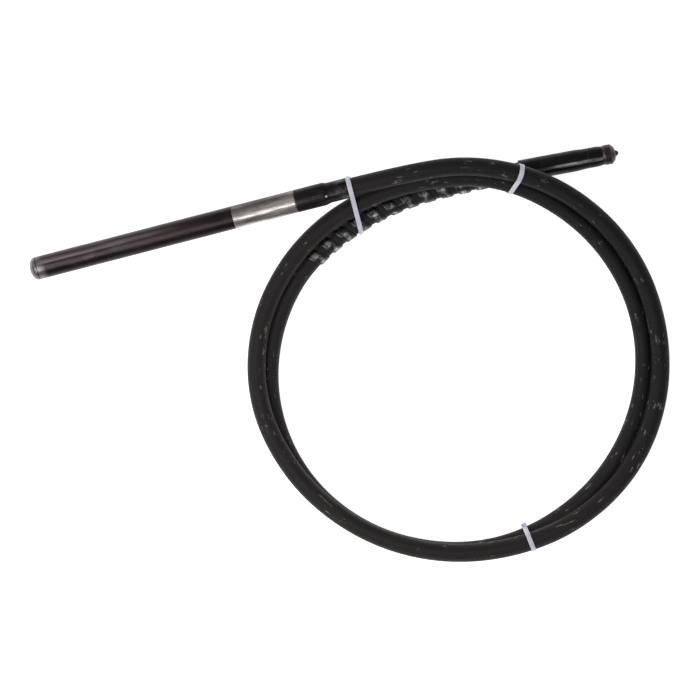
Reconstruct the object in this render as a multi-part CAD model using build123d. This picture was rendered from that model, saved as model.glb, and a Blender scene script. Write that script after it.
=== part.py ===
"""Internal concrete vibrator: eccentric-rotor head on a coiled flexible drive shaft.

Millimetres. Z is up and the floor is z = 0. The head lies along its own axis, its tip on the
floor and its rear end on the coil; the hose makes two laps and leaves through the drive
coupling. Each moving or separable piece is its own solid in parts/.
"""
from build123d import *
import math
import os

# ---- hose and what runs in it ------------------------------------------------------------
HOSE_D = 30.0          # rubber hose, outside
HOSE_BORE_R = 10.0
LINER_R = 9.3          # steel liner spiral, outside
LINER_BORE_R = 7.8
CORE_R = 5.0           # flexible drive core
FERRULE_GAP = 0.12     # hose to ferrule, radial
CORE_GAP = 0.2         # core to its sockets, radial

# ---- head --------------------------------------------------------------------------------
HEAD_D = 38.0
TIP_LEN = 13.0         # domed nose
DOME_LEN = 11.0
TUBE_LEN = 334.6
HOUSING_LEN = 106.4    # bright bearing housing
CONNECTOR_LEN = 55.2
CONNECTOR_TAPER = 6.6
FERRULE_LEN = 41.0
FERRULE_WALL = 2.0
FERRULE_FLOOR = 3.0    # wall at the bottom of the hose socket
NIPPLE_R = 12.5        # ferrule's threaded end
NIPPLE_LEN = 19.5
NIPPLE_BORE_R = 8.2
EDGE = 0.4             # broken edges where the head's pieces meet

# ---- threads: plain cylinders ------------------------------------------------------------
THREAD_WALL = 2.5      # tube wall left outside a thread
THREAD_GAP = 0.05      # radial
THREAD_LEN = 20.0
O_RING_DEPTH = 1.7
O_RING_W = 2.4
O_RING_INSET = 3.0
O_RING_SLACK = 0.03

# ---- ball bearings and rotor -------------------------------------------------------------
BRG_OUT_R = 15.0
BRG_BORE_R = 5.0
BRG_W = 9.0
BRG_GAP = 0.02         # rings to their seats, radial
BALL_R = 2.25
BALL_GAP = 0.1
BALLS = 8
LIP_GAP = 1.6          # ring shoulders to the ball circle
SHOULDER = 3.0         # step that stops an outer ring
SPACER_W = 2.0
SPACER_T = 2.4
ROTOR_GAP = 2.2        # weight to the tube's bore
ROTOR_CUT = 3.0        # flat of the weight above the axis
SHAFT_R = 7.0
SEAL_W = 8.6
CIRCLIP_W = 1.4
JOINT_R = 7.4          # rotor-to-core sleeve
JOINT_LEN = 54.0

# ---- drive end ---------------------------------------------------------------------------
DRIVE_FERRULE_WALL = 2.75
DRIVE_FERRULE_LEN = 106.9
DRIVE_TAPER = 11.5
SOCKET_LEN = 60.0      # hose socket
BARREL_R = 16.7
BARREL_LEN = 23.9
BARREL_TAPER = 7.0
NECK_R = 15.5
NECK_LEN = 2.1
SPIGOT_R = 13.0        # barrel's end inside the ferrule
SPIGOT_LEN = 21.8
COLLAR_R = 16.6
COLLAR_LEN = 11.0
COLLAR_CHAMFER = 4.8   # along, and as much in radius
NUT_LEN = 20.0
NUT_THREAD_R = 11.0
NUT_THREAD_LEN = 11.4
DOG_R = 7.0
DOG_FLANGE = 0.8
DOG_FLANGE_GAP = 0.4
DOG_NOSE = 5.7
DOG_SOCKET = 20.0
BUSH_GAP = 0.05        # running fit, radial
BUSH_R = 10.0
BUSH_LEN = 23.2
WASHER_T = 1.2

# ---- bend guard and ties -----------------------------------------------------------------
GUARD_GAP = 0.4        # strip over the hose
GUARD_T = 2.4
GUARD_W = 17.5         # strip width along the hose
GUARD_PITCH = 29.8
GUARD_TURNS = 12.7
GUARD_PHASE = -133.0   # degrees, where the winding starts
TIE_W = 7.6
TIE_T = 1.4
TIE_GAP = 0.4
TIE_LEAN = 14.5        # second tie, degrees

# ---- hose route --------------------------------------------------------------------------
# from the head ferrule's socket, round two laps, to the drive ferrule's socket
ROUTE = [
    (10.3, 31.5, 65.9),
    (118.2, 59.2, 76.4),
    (238.8, 79.3, 79.0),
    (363.7, 52.8, 72.9),
    (467.5, -18.2, 53.4),
    (534.9, -121.0, 39.5),
    (559.9, -251.6, 35.1),
    (535.4, -372.3, 34.2),
    (470.4, -469.0, 37.9),
    (365.5, -539.0, 45.6),
    (225.2, -567.2, 48.9),
    (90.1, -540.9, 48.2),
    (-23.3, -466.0, 47.8),
    (-94.2, -361.8, 45.3),
    (-116.2, -256.5, 41.7),
    (-95.6, -145.6, 39.9),
    (-28.6, -42.2, 43.3),
    (77.0, 30.9, 47.3),
    (222.7, 62.7, 53.0),
    (331.7, 43.3, 49.7),
    (437.6, -24.0, 37.0),
    (507.3, -122.9, 23.7),
    (533.2, -236.8, 17.1),
    (513.3, -354.5, 16.9),
    (446.8, -461.1, 16.9),
    (341.7, -536.5, 16.9),
    (226.2, -563.8, 16.9),
    (100.2, -543.6, 16.9),
    (-1.6, -481.2, 16.9),
    (-68.2, -390.0, 16.9),
    (-95.0, -280.9, 17.6),
    (-77.9, -168.4, 18.5),
    (-20.5, -70.0, 19.8),
    (104.0, 16.0, 19.7),
    (252.7, 55.0, 18.2),
    (380.5, 78.8, 18.2),
]
COIL_CENTRE = (223.7, -246.7)
COIL_R = 314.2

os.makedirs("parts", exist_ok=True)


# ---- layout ------------------------------------------------------------------------------
def bend_radii(points):
    """Arc radii that use 45 % of the shorter run at each corner."""
    radii = []
    for a, b, c in zip(points, points[1:], points[2:]):
        ab, bc = math.dist(a, b), math.dist(b, c)
        u = [(q - p) / ab for p, q in zip(a, b)]
        v = [(q - p) / bc for p, q in zip(b, c)]
        turn = math.acos(max(-1.0, min(1.0, sum(i * j for i, j in zip(u, v)))))
        radii.append(0.45 * min(ab, bc) / math.tan(turn / 2))
    return radii


def heading(a, b):
    """Yaw and climb in degrees of the run from a to b."""
    yaw = math.degrees(math.atan2(b[1] - a[1], b[0] - a[0]))
    climb = math.degrees(math.atan2(b[2] - a[2], math.dist(a[:2], b[:2])))
    return yaw, climb


# stations along the head, from the tip
TUBE_END = TIP_LEN + TUBE_LEN
HOUSING_END = TUBE_END + HOUSING_LEN
CONNECTOR_END = HOUSING_END + CONNECTOR_LEN
FERRULE_END = CONNECTOR_END + FERRULE_LEN
HOSE_START = CONNECTOR_END + FERRULE_FLOOR + 0.3
# stations along the drive end, from the ferrule's mouth
HOSE_STOP = SOCKET_LEN - 0.5
BARREL_END = DRIVE_FERRULE_LEN + BARREL_LEN
NECK_START = BARREL_END + BARREL_TAPER
NUT_START = NECK_START + NECK_LEN
BUSH_START = 112.8
# each end's frame: local X runs along the head from its tip, and along the drive end outward
HEAD_YAW, HEAD_CLIMB = heading(ROUTE[0], ROUTE[1])
HEAD = Pos(*ROUTE[0]) * Rot(0, 0, HEAD_YAW) * Rot(0, -HEAD_CLIMB, 0) * Pos(-HOSE_START, 0, 0)
DRIVE_YAW, _ = heading(ROUTE[-2], ROUTE[-1])
DRIVE = Pos(*ROUTE[-1]) * Rot(0, 0, DRIVE_YAW) * Pos(-HOSE_STOP, 0, 0)
RADII = bend_radii(ROUTE)

THREAD_R = HEAD_D / 2 - THREAD_WALL - THREAD_GAP   # male
TAP_R = HEAD_D / 2 - THREAD_WALL                   # female
GROOVE_R = THREAD_R - O_RING_DEPTH
FERRULE_R = HOSE_D / 2 + FERRULE_WALL
DRIVE_FERRULE_R = HOSE_D / 2 + DRIVE_FERRULE_WALL
GUARD_R = HOSE_D / 2 + GUARD_GAP + GUARD_T
BALL_PITCH_R = (BRG_OUT_R + BRG_BORE_R) / 2
INNER_LIP_R = BALL_PITCH_R - LIP_GAP
OUTER_LIP_R = BALL_PITCH_R + LIP_GAP
ROTOR_R = BRG_OUT_R - ROTOR_GAP
DRIVE_BORE_R = DOG_R + DOG_FLANGE + DOG_FLANGE_GAP


def at(frame, x):
    """World point on a frame's local X axis."""
    p = (frame * Pos(x, 0, 0)).position
    return (p.X, p.Y, p.Z)


def route(start, stop):
    """The cord's centre line from a station in the head to one in the drive end."""
    return FilletPolyline(at(HEAD, start), *ROUTE[1:-1], at(DRIVE, stop), radius=RADII)


def tube_along(path, r_out, r_in=0.0):
    """A round section swept along the route."""
    face = Circle(r_out)
    if r_in:
        face = face - Circle(r_in)
    return sweep(Plane(origin=path @ 0, z_dir=path % 0) * face, path=path)


# ---- solids made on a lathe --------------------------------------------------------------
def turned(*profile):
    """Revolve a closed (x, r) profile about the local X axis."""
    return revolve(make_face(Polyline(*profile, close=True)), Axis.X)


def rod(r, x0, x1):
    """Plain cylinder along local X."""
    return Pos((x0 + x1) / 2, 0, 0) * Rot(0, 90, 0) * Cylinder(r, x1 - x0)


def ring(r_in, r_out, x0, x1):
    """Plain collar along local X."""
    return rod(r_out, x0, x1) - rod(r_in, x0 - 1, x1 + 1)


def o_ring(seat_r, wall_r, x):
    """O-ring between a groove's floor and the wall around it."""
    minor = (wall_r - seat_r) / 2 - O_RING_SLACK
    return Pos(x, 0, 0) * Rot(0, 90, 0) * Torus((wall_r + seat_r) / 2, minor)


def o_groove(x0):
    """Cutter for an O-ring groove in a spigot."""
    return ring(GROOVE_R, THREAD_R + 0.5, x0, x0 + O_RING_W)


# ---- head pieces -------------------------------------------------------------------------
def tip_plug():
    """Domed nose with the threaded spigot that closes the tube."""
    dome = []
    for k in range(13):
        a = math.radians(90 * k / 12)
        dome.append((DOME_LEN - DOME_LEN * math.cos(a), HEAD_D / 2 * math.sin(a)))
    end = TIP_LEN + THREAD_LEN
    nose = make_face(Polyline(*dome, (TIP_LEN, HEAD_D / 2), (TIP_LEN, THREAD_R),
                              (end, THREAD_R), (end, 0), close=True))
    body = revolve(nose, Axis.X) - o_groove(TIP_LEN + O_RING_INSET)
    return body - rod(BRG_BORE_R + 3.0, end - 6.0, end + 1)


def head_tube():
    """Hardened steel tube with a thread seat at each end."""
    a, b, r = TIP_LEN + 0.05, TUBE_END, HEAD_D / 2
    return turned((a, TAP_R), (a, r - EDGE), (a + EDGE, r), (b - EDGE, r), (b, r - EDGE),
                  (b, TAP_R), (b - THREAD_LEN - 0.1, TAP_R), (b - THREAD_LEN - 0.1, BRG_OUT_R),
                  (a + THREAD_LEN, BRG_OUT_R), (a + THREAD_LEN, TAP_R))


CIRCLIP_X = 6.0 + 2 * BRG_W + SPACER_W + 1.3     # from the housing's front face


def bearing_housing():
    """Machined section that carries the rear bearings, threaded at both ends."""
    a, b, r = TUBE_END, HOUSING_END, HEAD_D / 2
    seat_end = a + CIRCLIP_X + CIRCLIP_W + 0.6 + SEAL_W
    body = turned((a - THREAD_LEN, BRG_OUT_R - SHOULDER), (a - THREAD_LEN, THREAD_R),
                  (a + 0.05, THREAD_R), (a + 0.05, r - EDGE), (a + 0.05 + EDGE, r),
                  (b - EDGE, r), (b, r - EDGE), (b, TAP_R), (b - THREAD_LEN - 0.1, TAP_R),
                  (b - THREAD_LEN - 0.1, JOINT_R + 2.6), (seat_end, JOINT_R + 2.6),
                  (seat_end, BRG_OUT_R), (a + 4.0, BRG_OUT_R),
                  (a + 4.0, BRG_OUT_R - SHOULDER))
    body -= o_groove(a - O_RING_INSET - O_RING_W)
    return body - ring(BRG_OUT_R - 0.5, BRG_OUT_R + 0.8, a + CIRCLIP_X - 0.1,
                       a + CIRCLIP_X + CIRCLIP_W + 0.1)


def raceway(x):
    """Torus that cuts the ball groove of both rings."""
    return Pos(x + BRG_W / 2, 0, 0) * Rot(0, 90, 0) * Torus(BALL_PITCH_R, BALL_R + BALL_GAP)


def inner_ring(x):
    """Bearing inner ring."""
    return ring(BRG_BORE_R, INNER_LIP_R, x, x + BRG_W) - raceway(x)


def outer_ring(x):
    """Bearing outer ring."""
    return ring(OUTER_LIP_R, BRG_OUT_R - BRG_GAP, x, x + BRG_W) - raceway(x)


def ball_cage(x):
    """Cage with its balls."""
    body = ring(BALL_PITCH_R - 0.8, BALL_PITCH_R + 0.8, x + BRG_W / 2 - 1.4,
                x + BRG_W / 2 + 1.4)
    for k in range(BALLS):
        a = 2 * math.pi * k / BALLS
        spot = Pos(x + BRG_W / 2, BALL_PITCH_R * math.cos(a), BALL_PITCH_R * math.sin(a))
        body += spot * Sphere(BALL_R)
    return body


FRONT_BRG = TIP_LEN + THREAD_LEN + 3.0
REAR_BRG_A = TUBE_END + 6.0
REAR_BRG_B = REAR_BRG_A + BRG_W + SPACER_W
JOINT_START = TUBE_END + CIRCLIP_X + CIRCLIP_W + 0.6 + SEAL_W + 2.0


def rotor():
    """Eccentric rotor: a half-round weight between two journals and a threaded rear end."""
    journal = BRG_BORE_R - BRG_GAP
    a, b = FRONT_BRG + BRG_W + 6.0, TUBE_END - 28.0
    weight = rod(ROTOR_R, a, b)
    weight -= Pos((a + b) / 2, 0, ROTOR_CUT + 20) * Box(b - a + 2, 60, 40)
    body = weight + rod(SHAFT_R, FRONT_BRG + BRG_W + 0.2, a + 8.0)
    body += rod(SHAFT_R, b - 8.0, REAR_BRG_A - 0.2)
    body += rod(journal, FRONT_BRG - 1.0, a)
    body += rod(journal, b, JOINT_START - 0.2)
    return body + rod(4.0, JOINT_START - 2.0, JOINT_START + 12.0)


def core_joint():
    """Sleeve that joins the rotor to the flexible core, with two spanner flats."""
    x = JOINT_START
    body = ring(4.0 + THREAD_GAP, JOINT_R, x, x + JOINT_LEN)
    body -= rod(CORE_R + CORE_GAP, x + 26.0, x + JOINT_LEN + 1)
    for side in (-1, 1):
        body -= Pos(x + 16.0, side * JOINT_R, 0) * Box(9, 2.2, 16)
    return body


def bearing_spacer():
    """Ring between the two rear bearings."""
    return ring(BRG_OUT_R - SPACER_T, BRG_OUT_R - 0.06, REAR_BRG_A + BRG_W + 0.1, REAR_BRG_B - 0.1)


def snap_ring():
    """Retaining ring with its open gap."""
    x = TUBE_END + CIRCLIP_X
    body = ring(BRG_OUT_R - 2.1, BRG_OUT_R + 0.6, x, x + CIRCLIP_W)
    return body - Pos(x + CIRCLIP_W / 2, 0, BRG_OUT_R - 0.7) * Box(4, 7, 6)


def oil_seal():
    """Rubber lip seal behind the bearings."""
    x = TUBE_END + CIRCLIP_X + CIRCLIP_W + 0.4
    r, lip = BRG_OUT_R - 0.05, BRG_BORE_R + 0.12
    neck, wall = BRG_BORE_R + 3.0, BRG_OUT_R - 2.1
    return turned((x, r), (x + SEAL_W, r), (x + SEAL_W, neck), (x + 6.4, neck),
                  (x + 5.2, lip), (x + 3.6, lip), (x + 3.6, neck), (x + 1.6, neck + 1.5),
                  (x + 1.6, wall), (x, wall))


SCREW_X = CONNECTOR_END - 3.4     # grub screw along the head
SCREW_ROLL = 18.0                 # degrees round it
SCREW_R = 2.2


def head_connector():
    """Connector between the bearing housing and the hose ferrule."""
    a, b, r = HOUSING_END, CONNECTOR_END, HEAD_D / 2
    nipple_end = b - NIPPLE_LEN - 0.5
    body = turned((a - THREAD_LEN, JOINT_R + 2.6), (a - THREAD_LEN, THREAD_R),
                  (a + 0.05, THREAD_R), (a + 0.05, r - EDGE), (a + 0.05 + EDGE, r),
                  (b - CONNECTOR_TAPER, r), (b, FERRULE_R), (b, NIPPLE_R + THREAD_GAP),
                  (nipple_end, NIPPLE_R + THREAD_GAP), (nipple_end, JOINT_R + 2.6))
    body -= o_groove(a - O_RING_INSET - O_RING_W)
    hole = Pos(SCREW_X, 0, NIPPLE_R + 3.5) * Cylinder(SCREW_R + THREAD_GAP, 12)
    return body - Rot(SCREW_ROLL, 0, 0) * hole


def grub_screw():
    """Socket set screw that locks the ferrule."""
    body = Cylinder(SCREW_R, 4.4) - Pos(0, 0, 1.6) * extrude(RegularPolygon(1.15, 6), 2.0)
    return Rot(SCREW_ROLL, 0, 0) * Pos(SCREW_X, 0, NIPPLE_R + 2.5) * body


def head_ferrule():
    """Ferrule crimped on the hose at the head."""
    a, b, bore = CONNECTOR_END, FERRULE_END, HOSE_D / 2 + FERRULE_GAP
    return turned((a - NIPPLE_LEN, NIPPLE_BORE_R), (a - NIPPLE_LEN, NIPPLE_R),
                  (a + 0.05, NIPPLE_R), (a + 0.05, FERRULE_R), (b - 1.0, FERRULE_R),
                  (b, FERRULE_R - 0.6), (b, bore), (a + FERRULE_FLOOR, bore),
                  (a + FERRULE_FLOOR, NIPPLE_BORE_R))


# ---- drive end ---------------------------------------------------------------------------
def drive_ferrule():
    """Ferrule crimped on the hose at the drive end."""
    end, bore = DRIVE_FERRULE_LEN, HOSE_D / 2 + FERRULE_GAP
    tap, start = SPIGOT_R + THREAD_GAP, DRIVE_FERRULE_LEN - SPIGOT_LEN - 0.1
    return turned((0, bore), (0, DRIVE_FERRULE_R - 0.6), (1.0, DRIVE_FERRULE_R),
                  (end - DRIVE_TAPER, DRIVE_FERRULE_R), (end, BARREL_R), (end, tap),
                  (start, tap), (start, DRIVE_BORE_R), (SOCKET_LEN, DRIVE_BORE_R),
                  (SOCKET_LEN, bore))


def drive_connector():
    """Barrel of the drive coupling, with the bush seat and the nut's thread."""
    a, seam = DRIVE_FERRULE_LEN, DRIVE_FERRULE_LEN + 8.5
    tail = NUT_START - 1.3 + NUT_THREAD_LEN
    seat_r, seat_0, seat_1 = BUSH_R + 0.02, BUSH_START - 2.3, BUSH_START + BUSH_LEN + 0.2
    return turned((a - SPIGOT_LEN, DRIVE_BORE_R), (a - SPIGOT_LEN, SPIGOT_R),
                  (a + 0.05, SPIGOT_R), (a + 0.05, BARREL_R), (seam, BARREL_R),
                  (seam, BARREL_R - 0.4), (seam + 0.6, BARREL_R - 0.4),
                  (seam + 0.6, BARREL_R), (BARREL_END, BARREL_R), (NECK_START, NECK_R),
                  (NUT_START - 1.3, NECK_R), (NUT_START - 1.3, NUT_THREAD_R),
                  (tail, NUT_THREAD_R), (tail, DOG_R + 2.4), (seat_1, DOG_R + 2.4),
                  (seat_1, seat_r), (seat_0, seat_r), (seat_0, DRIVE_BORE_R))


def drive_nut():
    """Collar nut that closes the coupling."""
    a, end = NUT_START, NUT_START + NUT_LEN
    tap, floor = NUT_THREAD_R + THREAD_GAP, NUT_START + NUT_THREAD_LEN - 1.2
    return turned((a, tap), (a, NECK_R), (a + 2.7, COLLAR_R), (a + 2.7 + COLLAR_LEN, COLLAR_R),
                  (a + 2.7 + COLLAR_LEN + COLLAR_CHAMFER, COLLAR_R - COLLAR_CHAMFER),
                  (end, DOG_R + 2.0), (end, DOG_R + 0.1), (floor, DOG_R + 0.1),
                  (floor, tap))


def drive_dog():
    """Turning end of the flexible shaft: core socket, shaft and conical nose."""
    flange, bore = BUSH_START - WASHER_T - 0.4, CORE_R + CORE_GAP
    a, face = flange - 23.2, NUT_START + NUT_LEN
    rim = DOG_R + DOG_FLANGE
    return turned((a, bore), (a, rim), (flange, rim), (flange, DOG_R),
                  (face + 0.3, DOG_R), (face + 0.7, DOG_R - 1.0), (face + 5.1, 2.6),
                  (face + DOG_NOSE + 0.3, 1.4), (face + DOG_NOSE + 0.3, 0),
                  (a + DOG_SOCKET, 0), (a + DOG_SOCKET, bore))


# ---- bend guard --------------------------------------------------------------------------
def frames(path):
    """Point, left and up vectors at a distance along the route."""
    def frame(distance):
        f = distance / path.length
        p, t = path.position_at(f), path.tangent_at(f)
        left = Vector(0, 0, 1).cross(t).normalized()
        return p, left, t.cross(left)
    return frame


def bend_guard(path):
    """Flat steel strip wound round the last stretch of hose."""
    frame = frames(path)
    stop = path.length - HOSE_STOP - 2.0 - GUARD_W / 2
    start = stop - GUARD_PITCH * GUARD_TURNS
    r_in = HOSE_D / 2 + GUARD_GAP
    steps = int(GUARD_TURNS * 16)
    lines, rims = [], []
    for side, r in ((-1, r_in), (-1, GUARD_R), (1, GUARD_R), (1, r_in)):
        points = []
        for k in range(steps + 1):
            turn = GUARD_TURNS * k / steps
            p, left, up = frame(start + GUARD_PITCH * turn + side * GUARD_W / 2)
            a = 2 * math.pi * turn + math.radians(GUARD_PHASE)
            points.append(p + left * (r * math.cos(a)) + up * (r * math.sin(a)))
        lines.append(points)
        rims.append(Edge.make_spline(points))
    faces = [Face.make_surface_from_curves(rims[i], rims[(i + 1) % 4]) for i in range(4)]
    for end in (0, -1):
        a, b, c, d = [points[end] for points in lines]
        faces.append(Face.make_surface_from_curves(Edge.make_line(a, b), Edge.make_line(d, c)))
    return Solid(Shell(faces))


# ---- cable ties --------------------------------------------------------------------------
def hull(points):
    """Convex hull of plan points, counter-clockwise."""
    points = sorted(set((round(x, 4), round(y, 4)) for x, y in points))

    def half(seq):
        out = []
        for p in seq:
            while len(out) > 1 and ((out[-1][0] - out[-2][0]) * (p[1] - out[-2][1])
                                    - (out[-1][1] - out[-2][1]) * (p[0] - out[-2][0])) <= 0:
                out.pop()
            out.append(p)
        return out[:-1]
    return half(points) + half(reversed(points))


def crossings(path, plane):
    """Where the route passes a plane: local x, y and direction, lowest x first."""
    found, n = [], 700
    points = [path.position_at(k / n) for k in range(n + 1)]
    for k in range(n):
        a, b = plane.to_local_coords(points[k]), plane.to_local_coords(points[k + 1])
        if a.Z * b.Z <= 0 and max(abs(a.X), abs(a.Y)) < 95:
            f = a.Z / (a.Z - b.Z)
            x, y = a.X + (b.X - a.X) * f, a.Y + (b.Y - a.Y) * f
            found.append((x, y, (b - a).normalized()))
    return sorted(found, key=lambda c: c[0])


def tie(plane, strands, head_at):
    """Nylon band round strands (x, y, direction, radius) with its lock head."""
    def outline(extra):
        points = []
        for x, y, t, r in strands:
            for w in (-TIE_W / 2, TIE_W / 2):
                for k in range(30):
                    a = 2 * math.pi * k / 30
                    c, s = math.cos(a), math.sin(a)
                    along = c * t.X + s * t.Y
                    reach = (r + extra) / math.sqrt(1 - along * along) / math.cos(math.pi / 30)
                    points.append((x + t.X / t.Z * w + c * reach, y + t.Y / t.Z * w + s * reach))
        return hull(points)

    inner, outer = outline(TIE_GAP), outline(TIE_GAP + TIE_T)
    section = (make_face(Polyline(*outer, close=True))
               - make_face(Polyline(*inner, close=True)))
    band = extrude(plane * section, TIE_W / 2, both=True)
    # the lock head sits on the straight stretch that faces head_at
    best = (-9.0, None, 0.0)
    toward = (math.cos(math.radians(head_at)), math.sin(math.radians(head_at)))
    for p, q in zip(outer, outer[1:] + outer[:1]):
        run = math.dist(p, q)
        n = ((q[1] - p[1]) / run, -(q[0] - p[0]) / run)
        score = n[0] * toward[0] + n[1] * toward[1] + run / 400
        if score > best[0]:
            spot = Pos((p[0] + q[0]) / 2, (p[1] + q[1]) / 2, 0)
            best = (score, spot, math.degrees(math.atan2(n[1], n[0])))
    seat = best[1] * Rot(0, 0, best[2])
    lock = fillet(Box(6.0, 10.5, 9.2).edges().filter_by(Axis.Z), 1.2)
    tail = Box(1.3, 5.0, 4.8)
    return band + plane * seat * Pos(1.9, 0, 0) * lock + plane * seat * Pos(3.4, 6.0, 0) * tail


def radial_plane(angle, lean=0.0):
    """Plane square to the laps at a direction from the coil centre, X outward, leaned."""
    a, b = math.radians(angle), math.radians(lean)
    outward = Vector(math.cos(a), math.sin(a), 0)
    tangent = Vector(math.sin(a), -math.cos(a), 0)
    origin = Vector(*COIL_CENTRE, HOSE_D) + outward * COIL_R
    normal = tangent * math.cos(b) - Vector(0, 0, 1) * math.sin(b)
    return Plane(origin=origin, x_dir=outward, z_dir=normal)


def head_plane():
    """Plane of the first tie, upright and square to the head near the ferrule's mouth."""
    x, y, _ = at(HEAD, FERRULE_END - 4.5)
    yaw = math.radians(HEAD_YAW)
    return Plane(origin=(x, y, HOSE_D), x_dir=(-math.sin(yaw), math.cos(yaw), 0),
                 z_dir=(math.cos(yaw), math.sin(yaw), 0))


def cable_ties(path):
    """The three ties that hold the coil."""
    r = HOSE_D / 2
    plane = head_plane()
    found = crossings(path, plane)
    ties = {"cable_tie_a": tie(plane, [c + (s,) for c, s in zip(found, (GUARD_R, r, FERRULE_R))],
                               310.0)}
    plane = radial_plane(74.8, TIE_LEAN)
    upper = sorted(crossings(path, plane), key=lambda c: c[1])[-2:]
    ties["cable_tie_b"] = tie(plane, [c + (r,) for c in upper], 305.0)
    plane = radial_plane(-68.6)
    ties["cable_tie_c"] = tie(plane, [c + (r,) for c in crossings(path, plane)], 180.0)
    return ties


# ---- build -------------------------------------------------------------------------------
HOSE_PATH = route(HOSE_START, HOSE_STOP)
PARTS = {}
for NAME, SHAPE in {
    "tip_plug": tip_plug(),
    "tip_o_ring": o_ring(GROOVE_R, TAP_R, TIP_LEN + O_RING_INSET + O_RING_W / 2),
    "head_tube": head_tube(),
    "front_outer_ring": outer_ring(FRONT_BRG),
    "front_inner_ring": inner_ring(FRONT_BRG),
    "front_ball_cage": ball_cage(FRONT_BRG),
    "eccentric_rotor": rotor(),
    "bearing_housing": bearing_housing(),
    "housing_o_ring": o_ring(GROOVE_R, TAP_R, TUBE_END - O_RING_INSET - O_RING_W / 2),
    "rear_outer_ring_a": outer_ring(REAR_BRG_A),
    "rear_inner_ring_a": inner_ring(REAR_BRG_A),
    "rear_ball_cage_a": ball_cage(REAR_BRG_A),
    "bearing_spacer": bearing_spacer(),
    "rear_outer_ring_b": outer_ring(REAR_BRG_B),
    "rear_inner_ring_b": inner_ring(REAR_BRG_B),
    "rear_ball_cage_b": ball_cage(REAR_BRG_B),
    "snap_ring": snap_ring(),
    "oil_seal": oil_seal(),
    "core_joint": core_joint(),
    "connector_o_ring": o_ring(GROOVE_R, TAP_R, HOUSING_END - O_RING_INSET - O_RING_W / 2),
    "head_connector": head_connector(),
    "grub_screw": grub_screw(),
    "head_ferrule": head_ferrule(),
}.items():
    PARTS[NAME] = HEAD * SHAPE
for NAME, SHAPE in {
    "drive_ferrule": drive_ferrule(),
    "drive_connector": drive_connector(),
    "drive_bush": ring(DOG_R + BUSH_GAP, BUSH_R, BUSH_START, BUSH_START + BUSH_LEN),
    "thrust_washer": ring(DOG_R + 0.1, BUSH_R - 0.2, BUSH_START - 0.2 - WASHER_T,
                          BUSH_START - 0.2),
    "drive_o_ring": ring(NUT_THREAD_R + 0.1, NECK_R - 0.3, NUT_START - 1.2, NUT_START - 0.1),
    "drive_nut": drive_nut(),
    "drive_dog": drive_dog(),
}.items():
    PARTS[NAME] = DRIVE * SHAPE
PARTS["hose"] = tube_along(HOSE_PATH, HOSE_D / 2, HOSE_BORE_R)
PARTS["hose_liner"] = tube_along(route(HOSE_START + 1.2, HOSE_STOP - 1.0), LINER_R,
                                 LINER_BORE_R)
PARTS["flexible_core"] = tube_along(route(JOINT_START + 27.0, BUSH_START - 5.8), CORE_R)
PARTS["bend_guard"] = bend_guard(HOSE_PATH)
PARTS.update(cable_ties(HOSE_PATH))
for NAME, SHAPE in PARTS.items():
    export_step(SHAPE, f"parts/{NAME}.step")

SECTION = math.pi * ((HOSE_D / 2) ** 2 - HOSE_BORE_R ** 2)
print("pieces", len(PARTS), "head yaw, climb", round(HEAD_YAW, 4), round(HEAD_CLIMB, 4))
print("tip at", [round(v, 2) for v in at(HEAD, 0)], "drive yaw", round(DRIVE_YAW, 4),
      "drive start", [round(v, 2) for v in at(DRIVE, 0)])
print("hose length", round(HOSE_PATH.length, 1), "least bend radius", round(min(RADII), 1))
print("cord radii", [round(v, 1) for v in RADII])
print("hose volume / (section x length)",
      round(PARTS["hose"].volume / (SECTION * HOSE_PATH.length), 4))
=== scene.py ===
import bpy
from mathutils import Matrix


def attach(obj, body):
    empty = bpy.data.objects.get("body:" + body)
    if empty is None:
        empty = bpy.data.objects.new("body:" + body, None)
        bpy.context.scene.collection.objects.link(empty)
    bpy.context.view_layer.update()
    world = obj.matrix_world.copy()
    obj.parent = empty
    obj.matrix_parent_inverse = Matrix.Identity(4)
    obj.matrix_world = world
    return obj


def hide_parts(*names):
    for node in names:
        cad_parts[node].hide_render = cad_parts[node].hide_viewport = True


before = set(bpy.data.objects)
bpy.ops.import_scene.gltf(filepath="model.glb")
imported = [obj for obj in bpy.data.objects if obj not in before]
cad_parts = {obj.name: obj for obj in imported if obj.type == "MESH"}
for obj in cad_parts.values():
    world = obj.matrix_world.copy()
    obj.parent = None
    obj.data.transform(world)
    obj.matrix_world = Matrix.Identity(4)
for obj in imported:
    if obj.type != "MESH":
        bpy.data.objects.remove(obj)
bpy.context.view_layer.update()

import math

import bpy
from mathutils import Matrix, Vector

world_scene = bpy.context.scene
world_scene.view_settings.view_transform = "Standard"

# ---- camera, light and floor ----------------------------------------------------------------
# Looking straight down from far above, so the coil shows as a true circle, on a near-white
# sheet. A wide soft lamp hangs in front of the coil, to the left, with a weaker one on the left
# behind it, and a small lamp in front puts a glint on the steel.
camera_height = 10.0
scale_height = 0.035                                  # where view_width is measured
view_width = 1.1515                                   # metres across the picture
camera_data = bpy.data.cameras.new("overhead_camera")
camera_data.lens = camera_data.sensor_width * (camera_height - scale_height) / view_width
camera_data.clip_end = 40.0
camera = bpy.data.objects.new("overhead_camera", camera_data)
camera.location = (0.0428, -0.2270, camera_height)
world_scene.collection.objects.link(camera)
world_scene.camera = camera


def hang_lamp(name, place, aim, wide, deep, watts):
    """Rectangular soft lamp that faces a point."""
    lamp = bpy.data.lights.new(name, "AREA")
    lamp.shape, lamp.size, lamp.size_y, lamp.energy = "RECTANGLE", wide, deep, watts
    holder = bpy.data.objects.new(name, lamp)
    holder.location = place
    holder.rotation_euler = (Vector(place) - Vector(aim)).to_track_quat("Z", "Y").to_euler()
    world_scene.collection.objects.link(holder)


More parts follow.
